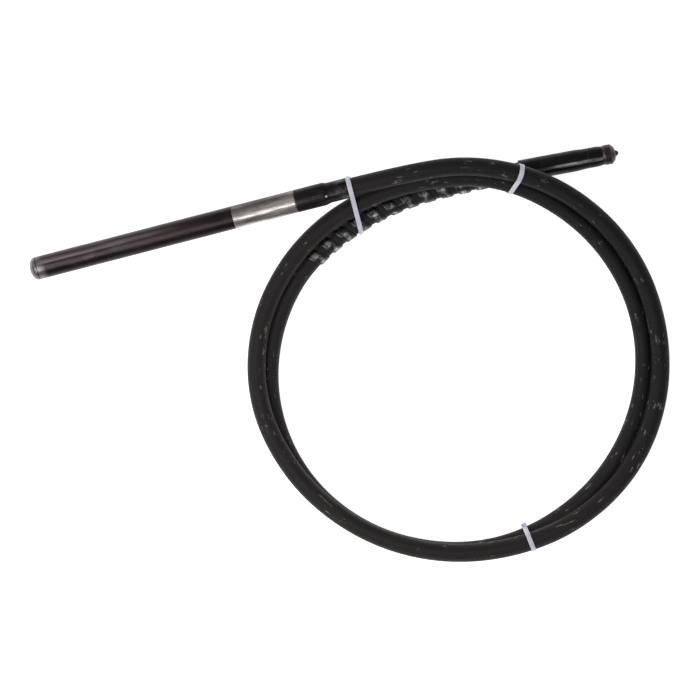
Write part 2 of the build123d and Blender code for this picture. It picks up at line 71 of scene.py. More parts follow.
hang_lamp("overhead_softbox", (-0.80, -0.75, 1.8), (0.0, -0.15, 0.0), 1.5, 0.6, 17.0)
hang_lamp("small_glint", (0.20, -0.80, 1.9), (0.15, 0.0, 0.0), 0.5, 0.3, 3.4)
hang_lamp("low_side_fill", (-1.7, 0.7, 1.5), (0.0, -0.1, 0.0), 1.2, 0.8, 4.0)

room = bpy.data.worlds.new("studio_room")
room.use_nodes = True
room.node_tree.nodes["Background"].inputs["Color"].default_value = (1.0, 1.0, 1.0, 1)
room.node_tree.nodes["Background"].inputs["Strength"].default_value = 0.33
world_scene.world = room


def new_material(name):
    """Material with its node tree and its shader."""
    made = bpy.data.materials.new(name)
    made.use_nodes = True
    nodes, links = made.node_tree.nodes, made.node_tree.links
    return made, nodes, links, nodes["Principled BSDF"]


def add_node(nodes, kind, **values):
    """Node with its settings and the values of its unlinked sockets."""
    node = nodes.new(kind)
    for key, value in values.items():
        if hasattr(node, key):
            setattr(node, key, value)
        else:
            node.inputs[key.replace("_", " ").title()].default_value = value
    return node


def ramp(nodes, links, source, *stops):
    """Colour ramp of (position, colour) stops on a value."""
    node = nodes.new("ShaderNodeValToRGB")
    links.new(source, node.inputs["Fac"])
    spots = node.color_ramp.elements
    for spot, (place, colour) in zip(spots, stops):
        spot.position, spot.color = place, (*colour, 1)
    for place, colour in stops[2:]:
        spots.new(place).color = (*colour, 1)
    return node.outputs["Color"]


def span(nodes, links, source, low, high, first=0.0, last=1.0):
    """Smooth rise of a value from first at low to last at high."""
    node = nodes.new("ShaderNodeMapRange")
    node.interpolation_type = "SMOOTHSTEP"
    for slot, value in zip(("From Min", "From Max", "To Min", "To Max"), (low, high, first, last)):
        node.inputs[slot].default_value = value
    links.new(source, node.inputs["Value"])
    return node.outputs["Result"]


def calc(nodes, links, rule, one, two=0.5):
    """Sum, product or other rule on two values."""
    node = nodes.new("ShaderNodeMath")
    node.operation = rule
    for slot, value in zip(node.inputs, (one, two)):
        if isinstance(value, (int, float)):
            slot.default_value = value
        else:
            links.new(value, slot)
    return node.outputs[0]


def blend_colour(nodes, links, mask, under, over, way="MIX"):
    """Second colour over the first where the mask is high."""
    node = nodes.new("ShaderNodeMix")
    node.data_type, node.blend_type = "RGBA", way
    for slot, value in zip((node.inputs[0], node.inputs[6], node.inputs[7]), (mask, under, over)):
        if isinstance(value, (int, float)):
            slot.default_value = value
        elif isinstance(value, tuple):
            slot.default_value = (*value, 1)
        else:
            links.new(value, slot)
    return node.outputs[2]


def give_bump(nodes, links, shader, height, depth, strength=1.0):
    """Surface relief in metres."""
    node = nodes.new("ShaderNodeBump")
    node.inputs["Strength"].default_value = strength
    node.inputs["Distance"].default_value = depth
    links.new(height, node.inputs["Height"])
    links.new(node.outputs["Normal"], shader.inputs["Normal"])


floor_finish, nodes, links, shader = new_material("pale_paper_floor")
shader.inputs["Roughness"].default_value = 0.9
shader.inputs["Specular IOR Level"].default_value = 0.1
shader.inputs["Emission Strength"].default_value = 0.84
shader.inputs["Emission Color"].default_value = (1, 1, 1, 1)
place = add_node(nodes, "ShaderNodeTexCoord").outputs["Object"]
paper = add_node(nodes, "ShaderNodeTexNoise", scale=3.0)
links.new(place, paper.inputs["Vector"])
links.new(ramp(nodes, links, paper.outputs["Fac"], (0.3, (0.90, 0.90, 0.90)),
               (0.7, (0.92, 0.92, 0.92))), shader.inputs["Base Color"])
bpy.ops.mesh.primitive_plane_add(size=14.0, location=(0, 0, -0.0006))
floor = bpy.context.object
floor.name = "floor"
floor.data.materials.append(floor_finish)

# ---- hose -----------------------------------------------------------------------------------
# Black rubber hose, 30 mm outside and 20 mm inside, which carries the turning core. It is
# wrapped in cloth while it cures, so its skin is matte with a faint weave and lengthwise
# lines. It runs from the head's ferrule round two laps to the drive end's ferrule.
HOSE_RADIUS, HOSE_WALL = 0.015, 0.005
HOSE_ROUTE = [
    (0.0103, 0.0315, 0.0659), (0.1182, 0.0592, 0.0764), (0.2388, 0.0793, 0.0790),
    (0.3637, 0.0528, 0.0729), (0.4675, -0.0182, 0.0534), (0.5349, -0.1210, 0.0395),
    (0.5599, -0.2516, 0.0351), (0.5354, -0.3723, 0.0342), (0.4704, -0.4690, 0.0379),
    (0.3655, -0.5390, 0.0456), (0.2252, -0.5672, 0.0489), (0.0901, -0.5409, 0.0482),
    (-0.0233, -0.4660, 0.0478), (-0.0942, -0.3618, 0.0453), (-0.1162, -0.2565, 0.0417),
    (-0.0956, -0.1456, 0.0399), (-0.0286, -0.0422, 0.0433), (0.0770, 0.0309, 0.0473),
    (0.2227, 0.0627, 0.0530), (0.3317, 0.0433, 0.0497), (0.4376, -0.0240, 0.0370),
    (0.5073, -0.1229, 0.0237), (0.5332, -0.2368, 0.0171), (0.5133, -0.3545, 0.0169),
    (0.4468, -0.4611, 0.0169), (0.3417, -0.5365, 0.0169), (0.2262, -0.5638, 0.0169),
    (0.1002, -0.5436, 0.0169), (-0.0016, -0.4812, 0.0169), (-0.0682, -0.3900, 0.0169),
    (-0.0950, -0.2809, 0.0176), (-0.0779, -0.1684, 0.0185), (-0.0205, -0.0700, 0.0198),
    (0.1040, 0.0160, 0.0197), (0.2527, 0.0550, 0.0182), (0.3805, 0.0788, 0.0182),
]


def hose_curve(name, radius):
    """Smooth curve along the hose's route, round in section where it has a radius."""
    line = bpy.data.curves.new(name, "CURVE")
    line.dimensions, line.twist_mode = "3D", "Z_UP"
    strand = line.splines.new("NURBS")
    strand.points.add(len(HOSE_ROUTE) - 1)
    for knot, spot in zip(strand.points, HOSE_ROUTE):
        knot.co = (*spot, 1)
    strand.order_u = 3
    strand.use_endpoint_u = True
    line.resolution_u = 14
    line.bevel_depth, line.bevel_resolution = radius, 8
    holder = bpy.data.objects.new(name, line)
    world_scene.collection.objects.link(holder)
    return holder


def pick_only(piece):
    """Leave one object selected and active."""
    bpy.ops.object.select_all(action="DESELECT")
    piece.select_set(True)
    bpy.context.view_layer.objects.active = piece


centre = hose_curve("hose_centre", 0.0)
line_mesh = bpy.data.meshes.new_from_object(centre)
HOSE_LINE = [spot.co.copy() for spot in line_mesh.vertices]
bpy.data.objects.remove(centre)
reach = [0.0]
for one, two in zip(HOSE_LINE, HOSE_LINE[1:]):
    reach.append(reach[-1] + (two - one).length)
HOSE_LENGTH = reach[-1]

hose = hose_curve("hose", HOSE_RADIUS)
pick_only(hose)
bpy.ops.object.convert(target="MESH")
hose = bpy.context.object
hose.name = "hose_cover"
wall = hose.modifiers.new("wall", "SOLIDIFY")
wall.thickness, wall.offset = HOSE_WALL, -1.0
bpy.ops.object.modifier_apply(modifier=wall.name)
bpy.ops.object.shade_smooth_by_angle(angle=math.radians(40))

rubber, nodes, links, shader = new_material("hose_rubber")
shader.inputs["Roughness"].default_value = 0.62
shader.inputs["Specular IOR Level"].default_value = 0.22
skin = add_node(nodes, "ShaderNodeTexCoord")
metres = add_node(nodes, "ShaderNodeMapping")         # along and around the hose, in metres
metres.inputs["Scale"].default_value = (HOSE_LENGTH, 2 * math.pi * HOSE_RADIUS, 1.0)
links.new(skin.outputs["UV"], metres.inputs["Vector"])
weave_one = add_node(nodes, "ShaderNodeTexWave", scale=210.0, distortion=0.4, detail=1.0)
weave_two = add_node(nodes, "ShaderNodeTexWave", scale=210.0, distortion=0.4, detail=1.0)
weave_one.bands_direction, weave_two.bands_direction = "X", "Y"
links.new(metres.outputs["Vector"], weave_one.inputs["Vector"])
links.new(metres.outputs["Vector"], weave_two.inputs["Vector"])
cloth = calc(nodes, links, "MULTIPLY", weave_one.outputs["Fac"], weave_two.outputs["Fac"])
lumps = add_node(nodes, "ShaderNodeTexNoise", scale=24.0, detail=5.0, roughness=0.6)
links.new(skin.outputs["Object"], lumps.inputs["Vector"])
pores = add_node(nodes, "ShaderNodeTexNoise", scale=900.0, detail=2.0)
links.new(skin.outputs["Object"], pores.inputs["Vector"])
long_marks = add_node(nodes, "ShaderNodeMapping")
long_marks.inputs["Scale"].default_value = (3.0, 420.0, 1.0)
links.new(metres.outputs["Vector"], long_marks.inputs["Vector"])
lines = add_node(nodes, "ShaderNodeTexNoise", scale=1.0, detail=3.0)
links.new(long_marks.outputs["Vector"], lines.inputs["Vector"])
# scuffs: small pale rubs along the crest, where the coil is dragged and stacked
rub_grain = add_node(nodes, "ShaderNodeMapping")
rub_grain.inputs["Scale"].default_value = (46.0, 150.0, 1.0)
links.new(metres.outputs["Vector"], rub_grain.inputs["Vector"])
rubs = add_node(nodes, "ShaderNodeTexNoise", scale=1.0, detail=4.0, roughness=0.62)
links.new(rub_grain.outputs["Vector"], rubs.inputs["Vector"])
sparse = span(nodes, links, lumps.outputs["Fac"], 0.48, 0.58)
fleck = calc(nodes, links, "MULTIPLY", span(nodes, links, rubs.outputs["Fac"], 0.58, 0.66), sparse)
base = ramp(nodes, links, lumps.outputs["Fac"], (0.35, (0.0135, 0.0116, 0.0112)),
            (0.65, (0.0192, 0.0164, 0.0156)))
base = blend_colour(nodes, links, span(nodes, links, lines.outputs["Fac"], 0.45, 0.75, 0.0, 0.5),
                    base, (0.019, 0.018, 0.018))
# painted shade: the laps darken from the head's side of the coil to the far side
apart = add_node(nodes, "ShaderNodeSeparateXYZ")
links.new(skin.outputs["Object"], apart.inputs["Vector"])
painted_shade_sweep = calc(nodes, links, "ADD", apart.outputs["X"],
                calc(nodes, links, "MULTIPLY", apart.outputs["Y"], 0.9))
base = blend_colour(nodes, links, span(nodes, links, painted_shade_sweep, -0.10, 0.45, 0.0, 0.70), base,
                    (0.0045, 0.0040, 0.0044))
links.new(blend_colour(nodes, links, calc(nodes, links, "MULTIPLY", fleck, 0.8), base,
                       (0.20, 0.19, 0.185)), shader.inputs["Base Color"])
links.new(span(nodes, links, lumps.outputs["Fac"], 0.3, 0.7, 0.54, 0.70),
          shader.inputs["Roughness"])
relief = calc(nodes, links, "ADD", calc(nodes, links, "MULTIPLY", cloth, 0.35),
              calc(nodes, links, "ADD", calc(nodes, links, "MULTIPLY", pores.outputs["Fac"], 0.25),
                   calc(nodes, links, "MULTIPLY", lines.outputs["Fac"], 0.4)))
give_bump(nodes, links, shader, relief, 0.0003)
hose.data.materials.clear()
hose.data.materials.append(rubber)
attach(hose, "hose_assembly")
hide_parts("hose")

# ---- bend guard -----------------------------------------------------------------------------
# Flat spring-steel strip wound in an open right-handed spiral over the last stretch of hose,
# so the hose can't kink behind the drive coupling. It is blackened and slightly crowned, with
# rubbed edges and pale patches on each crown that are partly wear, partly a painted highlight.
GUARD_GAP, GUARD_THICK, GUARD_WIDE = 0.0004, 0.0024, 0.0175
GUARD_PITCH, GUARD_TURNS, GUARD_PHASE = 0.0298, 12.7, -133.0
guard_first = HOSE_LENGTH - 0.0595 - 0.002 - GUARD_WIDE / 2 - GUARD_PITCH * GUARD_TURNS
guard_low = HOSE_RADIUS + GUARD_GAP


def hose_frame(distance):
    """Place, left and up directions at a distance along the hose."""
    low, high = 0, len(reach) - 1
    while high - low > 1:
        middle = (low + high) // 2
        low, high = (middle, high) if reach[middle] <= distance else (low, middle)
    part = (distance - reach[low]) / (reach[high] - reach[low])

    def heading(k):
        k = max(1, min(len(HOSE_LINE) - 2, k))
        return (HOSE_LINE[k + 1] - HOSE_LINE[k - 1]).normalized()
    ahead = heading(low).lerp(heading(high), part).normalized()
    left = Vector((0, 0, 1)).cross(ahead).normalized()
    return HOSE_LINE[low].lerp(HOSE_LINE[high], part), left, ahead.cross(left)


def wrap_on_hose(piece, first):
    """Carry a piece made straight along X onto the hose."""
    for knot in piece.data.vertices:
        spot, left, up = hose_frame(first + knot.co.x)
        knot.co = spot + left * knot.co.y + up * knot.co.z
    piece.data.update()


def edit(piece, how="DESELECT"):
    """Edit mode on one piece, with all of it selected or none."""
    pick_only(piece)
    bpy.ops.object.mode_set(mode="EDIT")
    bpy.ops.mesh.select_all(action=how)


def done():
    bpy.ops.object.mode_set(mode="OBJECT")


def choose(piece, kind, test):
    """Select vertices, edges or faces by a test on them, from object mode."""
    mesh = piece.data
    bpy.context.tool_settings.mesh_select_mode = tuple(kind == k for k in ("vertices", "edges", "polygons"))
    for group in (mesh.vertices, mesh.edges, mesh.polygons):
        for item in group:
            item.select = False
    for item in getattr(mesh, kind):
        if test(item):
            item.select = True


bpy.ops.object.select_all(action="DESELECT")
bpy.ops.mesh.primitive_plane_add(size=1.0, location=(0, 0, 0))
guard = bpy.context.object
guard.name = "bend_guard_strip"
edit(guard, "SELECT")
bpy.ops.transform.resize(value=(GUARD_WIDE, GUARD_THICK, 1))
bpy.ops.transform.translate(value=(0, guard_low + GUARD_THICK / 2, 0))
bpy.ops.mesh.delete(type="ONLY_FACE")
done()
outer = guard_low + GUARD_THICK
choose(guard, "edges", lambda e: all(guard.data.vertices[k].co.y > outer - 1e-5 for k in e.vertices))
bpy.ops.object.mode_set(mode="EDIT")
bpy.ops.mesh.subdivide(number_cuts=5)
done()
for knot in guard.data.vertices:                      # crown of the strip's outer face
    if knot.co.y > outer - 1e-5:
        knot.co.y -= 0.00035 * (abs(knot.co.x) / (GUARD_WIDE / 2)) ** 2
winding = guard.modifiers.new("winding", "SCREW")
winding.axis, winding.angle = "X", 2 * math.pi * GUARD_TURNS
winding.screw_offset = GUARD_PITCH * GUARD_TURNS
winding.steps = winding.render_steps = int(28 * GUARD_TURNS)
bpy.ops.object.modifier_apply(modifier=winding.name)
edit(guard)
bpy.ops.mesh.select_non_manifold()
bpy.ops.mesh.fill_holes(sides=0)
bpy.ops.mesh.select_all(action="SELECT")
bpy.ops.mesh.normals_make_consistent(inside=False)
done()
edge = guard.modifiers.new("broken_edges", "BEVEL")
edge.width, edge.segments, edge.limit_method, edge.angle_limit = 0.00035, 2, "ANGLE", math.radians(50)
bpy.ops.object.modifier_apply(modifier=edge.name)
bpy.ops.object.shade_smooth_by_angle(angle=math.radians(35))
strip_map = guard.data.uv_layers.new(name="strip")     # along and across the strip, in metres
for face in guard.data.polygons:
    middle = face.center
    face_turn = math.atan2(middle.z, middle.y) / (2 * math.pi)
    face_turn += round(middle.x / GUARD_PITCH - face_turn)
    for k in face.loop_indices:
        knot = guard.data.vertices[guard.data.loops[k].vertex_index].co
        turn = math.atan2(knot.z, knot.y) / (2 * math.pi)
        turn += round(face_turn - turn)
        strip_map.data[k].uv = (turn * 2 * math.pi * outer, knot.x - turn * GUARD_PITCH)
guard.data.transform(Matrix.Rotation(math.radians(GUARD_PHASE), 4, "X"))
wrap_on_hose(guard, guard_first)

# rubbed_steel: worn patches and fine marks on a steel surface, shared by the steel finishes
rubbed = bpy.data.node_groups.new("rubbed_steel", "ShaderNodeTree")
for name, kind, way in (("Place", "NodeSocketVector", "INPUT"), ("Patch Size", "NodeSocketFloat", "INPUT"),
                        ("Mark Stretch", "NodeSocketVector", "INPUT"),
                        ("Patches", "NodeSocketFloat", "OUTPUT"), ("Marks", "NodeSocketFloat", "OUTPUT"),
                        ("Specks", "NodeSocketFloat", "OUTPUT")):
    rubbed.interface.new_socket(name=name, in_out=way, socket_type=kind)
nodes, links = rubbed.nodes, rubbed.links
way_in, way_out = nodes.new("NodeGroupInput"), nodes.new("NodeGroupOutput")
patch = add_node(nodes, "ShaderNodeTexNoise", detail=5.0, roughness=0.62, distortion=0.3)
links.new(way_in.outputs["Place"], patch.inputs["Vector"])
links.new(way_in.outputs["Patch Size"], patch.inputs["Scale"])
stretch = add_node(nodes, "ShaderNodeVectorMath", operation="MULTIPLY")
links.new(way_in.outputs["Place"], stretch.inputs[0])
links.new(way_in.outputs["Mark Stretch"], stretch.inputs[1])
mark = add_node(nodes, "ShaderNodeTexNoise", scale=1.0, detail=4.0, roughness=0.7)
links.new(stretch.outputs[0], mark.inputs["Vector"])
speck = add_node(nodes, "ShaderNodeTexNoise", scale=850.0, detail=3.0, roughness=0.7)
links.new(way_in.outputs["Place"], speck.inputs["Vector"])
links.new(patch.outputs["Fac"], way_out.inputs["Patches"])
links.new(mark.outputs["Fac"], way_out.inputs["Marks"])
links.new(speck.outputs["Fac"], way_out.inputs["Specks"])


def rub_marks(nodes, links, place, patch_size, stretch):
    """The shared steel wear, placed in a material with its own sizes."""
    node = nodes.new("ShaderNodeGroup")
    node.node_tree = rubbed
    node.inputs["Patch Size"].default_value = patch_size
    node.inputs["Mark Stretch"].default_value = stretch
    links.new(place, node.inputs["Place"])
    return node.outputs["Patches"], node.outputs["Marks"], node.outputs["Specks"]


strip_steel, nodes, links, shader = new_material("spring_steel_strip")
shader.inputs["Metallic"].default_value = 1.0
skin = add_node(nodes, "ShaderNodeTexCoord")
patches, marks, specks = rub_marks(nodes, links, skin.outputs["Object"], 95.0, (260.0, 260.0, 260.0))
across = add_node(nodes, "ShaderNodeSeparateXYZ")
links.new(skin.outputs["UV"], across.inputs["Vector"])
off_middle = calc(nodes, links, "ABSOLUTE", across.outputs["Y"], 0.0)
crown = span(nodes, links, off_middle, 0.0010, 0.0070, 1.0, 0.0)
edge_rub = span(nodes, links, off_middle, 0.0078, 0.0086)
# pale patches on the strip's crown: partly rubbed wear, partly a painted highlight
crown_highlight_and_wear = calc(nodes, links, "MULTIPLY", span(nodes, links, patches, 0.42, 0.62), crown)
base = ramp(nodes, links, marks, (0.3, (0.030, 0.029, 0.030)), (0.7, (0.060, 0.058, 0.058)))
base = blend_colour(nodes, links, crown_highlight_and_wear, base, (0.36, 0.352, 0.352))
base = blend_colour(nodes, links, calc(nodes, links, "MULTIPLY", edge_rub, marks), base, (0.16, 0.155, 0.15))
links.new(base, shader.inputs["Base Color"])
links.new(span(nodes, links, patches, 0.3, 0.7, 0.40, 0.26), shader.inputs["Roughness"])
give_bump(nodes, links, shader, calc(nodes, links, "ADD", marks, specks), 0.00008)
guard.data.materials.append(strip_steel)
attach(guard, "hose_assembly")
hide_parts("bend_guard")

# ---- cable ties -----------------------------------------------------------------------------
# Three natural nylon ties hold the laps: one round all three strands beside the head's
# ferrule, one leaned round the two upper strands, one round both laps opposite. Each is a
# flat band pulled tight, with a moulded lock head and the cut end of its tail.
TIE_GAP, TIE_THICK, TIE_WIDE = 0.0004, 0.0014, 0.0076
GUARD_RADIUS, FERRULE_RADIUS = 0.0178, 0.0170
HEAD_YAW = math.radians(14.398)


def cross_plane(to_tie):
    """Where the hose's line passes a tie's plane: local place and direction, lowest x first."""
    found = []
    for one, two in zip(HOSE_LINE, HOSE_LINE[1:]):
        a, b = to_tie @ one, to_tie @ two
        if a.z * b.z <= 0 and a.z != b.z and max(abs(a.x), abs(a.y)) < 0.095:
            found.append((a.lerp(b, a.z / (a.z - b.z)), (b - a).normalized()))
    return sorted(found, key=lambda hit: hit[0].x)


def nylon_tie(name, middle, out_way, axis, take, radii, lock_way):
    """Band round the hose strands that cross the plane at middle, with its lock and tail."""
    out_way, axis = Vector(out_way).normalized(), Vector(axis).normalized()
    stand = Matrix((out_way, axis.cross(out_way), axis)).transposed().to_4x4()
    stand.translation = Vector(middle)
    hits = take(cross_plane(stand.inverted()))
    bpy.ops.object.select_all(action="DESELECT")
    slabs = []
    for (spot, ahead), radius in zip(hits, radii):    # a slice of each strand, at its own slant
        bpy.ops.mesh.primitive_cylinder_add(
            vertices=56, radius=radius + TIE_GAP, depth=0.08, location=spot,
            rotation=ahead.to_track_quat("Z", "Y").to_euler())
        slab = bpy.context.object
        for level, keep_under in ((TIE_WIDE / 2, True), (-TIE_WIDE / 2, False)):
            edit(slab, "SELECT")
            # the cutting plane is given in the scene's own axes
            bpy.ops.mesh.bisect(plane_co=(0, 0, level), plane_no=(0, 0, 1), use_fill=True,
                                clear_outer=keep_under, clear_inner=not keep_under)
            done()
        slabs.append(slab)
    pick_only(slabs[0])
    for slab in slabs:
        slab.select_set(True)
    bpy.ops.object.join()
    tie = bpy.context.object
    bpy.ops.object.transform_apply(location=True, rotation=True, scale=True)
    edit(tie, "SELECT")
    bpy.ops.mesh.convex_hull()
    bpy.ops.mesh.remove_doubles(threshold=0.00005)
    bpy.ops.mesh.dissolve_limited(angle_limit=math.radians(0.6))
    bpy.ops.mesh.normals_make_consistent(inside=False)
    done()
    choose(tie, "polygons", lambda f: abs(f.normal.z) > 0.9)
    bpy.ops.object.mode_set(mode="EDIT")
    bpy.ops.mesh.delete(type="ONLY_FACE")
    done()
    # the lock sits on the straight stretch that faces lock_way
    toward = Vector((math.cos(lock_way), math.sin(lock_way), 0))
    seat = max(tie.data.polygons, key=lambda f: f.normal.dot(toward) + f.area / TIE_WIDE / 0.4)
    seat_spot, seat_way = seat.center.copy(), seat.normal.copy()
    seat_spot.z, seat_way.z = 0.0, 0.0
    seat_turn = math.atan2(seat_way.y, seat_way.x)
    band = tie.modifiers.new("thickness", "SOLIDIFY")
    band.thickness, band.offset, band.use_even_offset = TIE_THICK, 1.0, True
    bpy.ops.object.modifier_apply(modifier=band.name)
    soft = tie.modifiers.new("soft_edges", "BEVEL")
    soft.width, soft.segments, soft.limit_method, soft.angle_limit = 0.0004, 2, "ANGLE", math.radians(50)
    bpy.ops.object.modifier_apply(modifier=soft.name)
    # lock head: a rounded block with a window where the tail comes through
    bpy.ops.object.select_all(action="DESELECT")
    bpy.ops.mesh.primitive_cube_add(size=1.0, location=(0, 0, 0))
    lock = bpy.context.object
    edit(lock, "SELECT")
    bpy.ops.transform.resize(value=(0.0060, 0.0105, 0.0092))
    bpy.ops.mesh.bevel(offset=0.0011, segments=3, affect="EDGES")
    done()
    for side in (0.9, -0.9):
        choose(lock, "polygons", lambda f: f.normal.y * side > 0.8 and f.area > 2e-5)
        bpy.ops.object.mode_set(mode="EDIT")
        bpy.ops.mesh.inset(thickness=0.0007)
        inward = -0.0012 if side > 0 else 0.0012
        bpy.ops.mesh.extrude_region_move(TRANSFORM_OT_translate={"value": (0, inward, 0)})
        done()
    # tail: the strip's cut end, with the teeth that the lock holds
    bpy.ops.object.select_all(action="DESELECT")
    bpy.ops.mesh.primitive_cube_add(size=1.0, location=(0.0008, 0.0062, 0))
    tail = bpy.context.object
    edit(tail, "SELECT")
    bpy.ops.transform.resize(value=(0.0013, 0.0052, 0.0048))
    done()
    tail_knots = tail.data.vertices
    choose(tail, "edges", lambda e: abs((tail_knots[e.vertices[0]].co
                                         - tail_knots[e.vertices[1]].co).y) > 0.004)
    bpy.ops.object.mode_set(mode="EDIT")
    bpy.ops.mesh.subdivide(number_cuts=9)
    done()
    for knot in tail.data.vertices:
        if knot.co.x < 0:
            knot.co.x += 0.00035 * (round(knot.co.y / 0.00052) % 2)
    for part in (lock, tail):
        pick_only(part)
        bpy.ops.object.transform_apply(location=True, rotation=True, scale=True)
        part.data.transform(Matrix.Translation(seat_spot + seat_way * 0.0033)
                            @ Matrix.Rotation(seat_turn, 4, "Z"))
    pick_only(tie)
    lock.select_set(True)
    tail.select_set(True)
    bpy.ops.object.join()
    tie.name = name + "_nylon"
    tie.data.transform(stand)
    edit(tie, "SELECT")
    bpy.ops.mesh.normals_make_consistent(inside=False)
    done()
    bpy.ops.object.shade_smooth_by_angle(angle=math.radians(32))
    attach(tie, "hose_assembly")
    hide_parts(name)
    return tie


def laps_out(angle):
    """Direction from the coil's centre."""
    return Vector((math.cos(math.radians(angle)), math.sin(math.radians(angle)), 0))


def laps_along(angle, lean=0.0):
    """Direction along the laps there, leaned down."""
    a, b = math.radians(angle), math.radians(lean)
    return Vector((math.sin(a) * math.cos(b), -math.cos(a) * math.cos(b), -math.sin(b)))


COIL_CENTRE, COIL_RADIUS = Vector((0.2237, -0.2467, 0.03)), 0.3142
TIE_B_AT, TIE_B_LEAN = 74.8, 14.5       # degrees round the coil, and off square
TIE_C_AT = -68.6
ties = [
    nylon_tie("cable_tie_a", (0.04232, 0.03972, 0.03), (-math.sin(HEAD_YAW), math.cos(HEAD_YAW), 0),
              (math.cos(HEAD_YAW), math.sin(HEAD_YAW), 0), lambda hits: hits,
              (GUARD_RADIUS, HOSE_RADIUS, FERRULE_RADIUS), math.radians(310)),
    nylon_tie("cable_tie_b", COIL_CENTRE + laps_out(TIE_B_AT) * COIL_RADIUS, laps_out(TIE_B_AT),
              laps_along(TIE_B_AT, TIE_B_LEAN),
              lambda hits: sorted(hits, key=lambda hit: hit[0].y)[-2:],
              (HOSE_RADIUS, HOSE_RADIUS), math.radians(305)),
    nylon_tie("cable_tie_c", COIL_CENTRE + laps_out(TIE_C_AT) * COIL_RADIUS, laps_out(TIE_C_AT),
              laps_along(TIE_C_AT), lambda hits: hits, (HOSE_RADIUS, HOSE_RADIUS), math.radians(180)),
]
nylon, nodes, links, shader = new_material("natural_nylon")
shader.inputs["Roughness"].default_value = 0.4
shader.inputs["Subsurface Weight"].default_value = 0.12
shader.inputs["Subsurface Scale"].default_value = 0.002
skin = add_node(nodes, "ShaderNodeTexCoord")
cloud = add_node(nodes, "ShaderNodeTexNoise", scale=60.0, detail=3.0)
grain = add_node(nodes, "ShaderNodeTexNoise", scale=1400.0, detail=2.0)
links.new(skin.outputs["Object"], cloud.inputs["Vector"])
links.new(skin.outputs["Object"], grain.inputs["Vector"])
links.new(ramp(nodes, links, cloud.outputs["Fac"], (0.3, (0.60, 0.58, 0.68)), (0.7, (0.74, 0.72, 0.80))),
          shader.inputs["Base Color"])
links.new(span(nodes, links, cloud.outputs["Fac"], 0.3, 0.7, 0.34, 0.48), shader.inputs["Roughness"])
give_bump(nodes, links, shader, grain.outputs["Fac"], 0.00008)
for tie in ties:
    tie.data.materials.append(nylon)

# ---- vibrating head -------------------------------------------------------------------------
# Hardened steel tube with a domed nose screwed into its front. It is heat-blued to a dark
# brown-black, and the concrete has polished the nose and the front of the tube grey.
HEAD_TIP = (-0.48391, -0.09537, 0.01781)
HEAD_CLIMB = math.radians(5.3846)
# where the painted highlight runs along the head
HEAD_HIGHLIGHT_AT = 0.0075         # metres left of the middle
NOSE_JOINT_AT = 0.0130          # metres behind the tip


def along_piece(nodes, links, origin, yaw, climb):
    """A turned piece's own axes: x runs along it from origin, y is its left side."""
    own = add_node(nodes, "ShaderNodeTexCoord")
    turn = nodes.new("ShaderNodeMapping")
    turn.vector_type = "TEXTURE"
    turn.inputs["Location"].default_value = origin
    turn.inputs["Rotation"].default_value = (0, -climb, yaw)
    links.new(own.outputs["Object"], turn.inputs["Vector"])
    split = add_node(nodes, "ShaderNodeSeparateXYZ")
    links.new(turn.outputs["Vector"], split.inputs["Vector"])
    return turn.outputs["Vector"], split.outputs["X"], split.outputs["Y"], split.outputs["Z"]


def finish_nodes(finish, *names):
    """Give CAD pieces their finish."""
    for name in names:
        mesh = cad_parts[name].data
        mesh.materials.clear()
        mesh.materials.append(finish)


blued, nodes, links, shader = new_material("heat_blued_steel")
shader.inputs["Metallic"].default_value = 1.0
place, along, side, _ = along_piece(nodes, links, HEAD_TIP, HEAD_YAW, HEAD_CLIMB)
patches, marks, specks = rub_marks(nodes, links, place, 26.0, (9.0, 170.0, 170.0))
tones, turned, _ = rub_marks(nodes, links, place, 11.0, (1500.0, 30.0, 30.0))
base = ramp(nodes, links, tones, (0.36, (0.038, 0.027, 0.029)), (0.5, (0.058, 0.038, 0.041)),
            (0.64, (0.046, 0.040, 0.045)))
long_rub = calc(nodes, links, "MULTIPLY", span(nodes, links, marks, 0.40, 0.72),
                span(nodes, links, along, 0.05, 0.30, 1.0, 0.15))
base = blend_colour(nodes, links, calc(nodes, links, "MULTIPLY", long_rub, 0.45), base,
                    (0.150, 0.122, 0.132))
# painted highlight: a pale lengthwise stripe left of the middle, strongest towards the nose
off_highlight = calc(nodes, links, "SUBTRACT", side, HEAD_HIGHLIGHT_AT)
painted_head_highlight = span(nodes, links, calc(nodes, links, "ABSOLUTE", off_highlight, 0.0),
               0.0012, 0.0050, 1.0, 0.0)
painted_head_highlight = calc(nodes, links, "MULTIPLY", painted_head_highlight, span(nodes, links, marks, 0.25, 0.60, 0.35, 1.0))
painted_head_highlight = calc(nodes, links, "MULTIPLY", painted_head_highlight, span(nodes, links, along, 0.13, 0.29, 0.75, 0.0))
base = blend_colour(nodes, links, painted_head_highlight, base, (0.40, 0.330, 0.358))
# painted shade: the tube darkened towards its right side
base = blend_colour(nodes, links, span(nodes, links, side, -0.012, 0.003, 0.75, 0.0), base,
                    (0.016, 0.012, 0.013))
